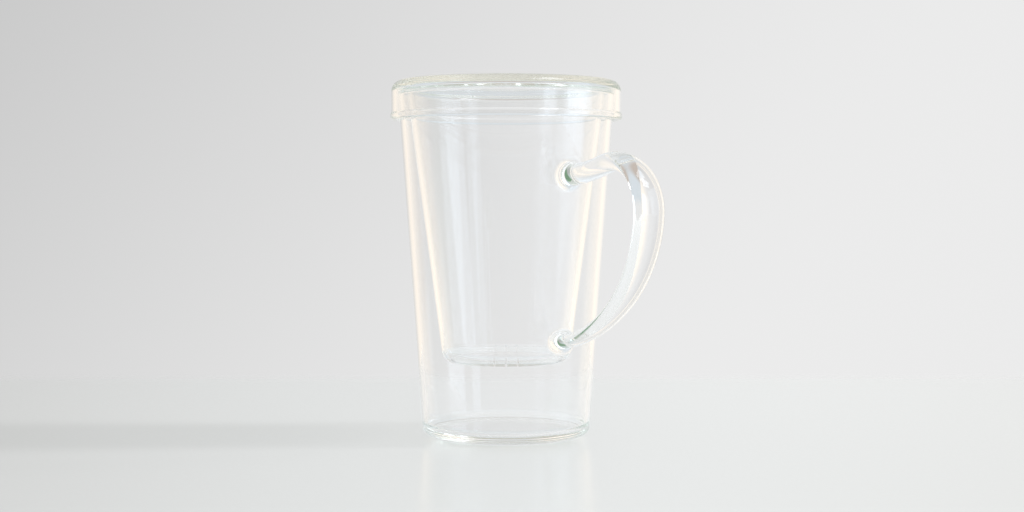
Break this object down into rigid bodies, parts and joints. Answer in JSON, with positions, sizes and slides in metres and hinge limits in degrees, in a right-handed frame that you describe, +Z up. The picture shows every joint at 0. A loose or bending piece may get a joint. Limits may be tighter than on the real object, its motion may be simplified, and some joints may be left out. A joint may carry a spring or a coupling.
{
  "type": "lidded tea mug with infuser",
  "caption": "Tapered clear glass tea mug with a fused solid ear handle, a slit glass infuser hung on its rim and a loose skirted lid.",
  "frame": {"origin": "middle of the foot's underside, on the mug's axis, on the table", "axes": "+Z up along the mug's axis, +X from the axis to the handle, +Y across the handle"},
  "size_m": [0.1399, 0.0948, 0.145],
  "materials": {
    "clear_glass": "clear borosilicate glass, blown and fire-polished, very faint green in its thick edges"
  },
  "bodies": {
    "mug": {"mug_body": "clear_glass", "handle": "clear_glass"},
    "infuser": {"infuser": "clear_glass"},
    "lid": {"lid": "clear_glass"}
  },
  "joints": [
    {"name": "infuser_lift", "type": "slide", "parent": "mug", "child": "infuser", "axis": [0, 0, 1], "range_m": [0, 0.12]},
    {"name": "lid_lift", "type": "slide", "parent": "infuser", "child": "lid", "axis": [0, 0, 1], "range_m": [0, 0.03]}
  ]
}
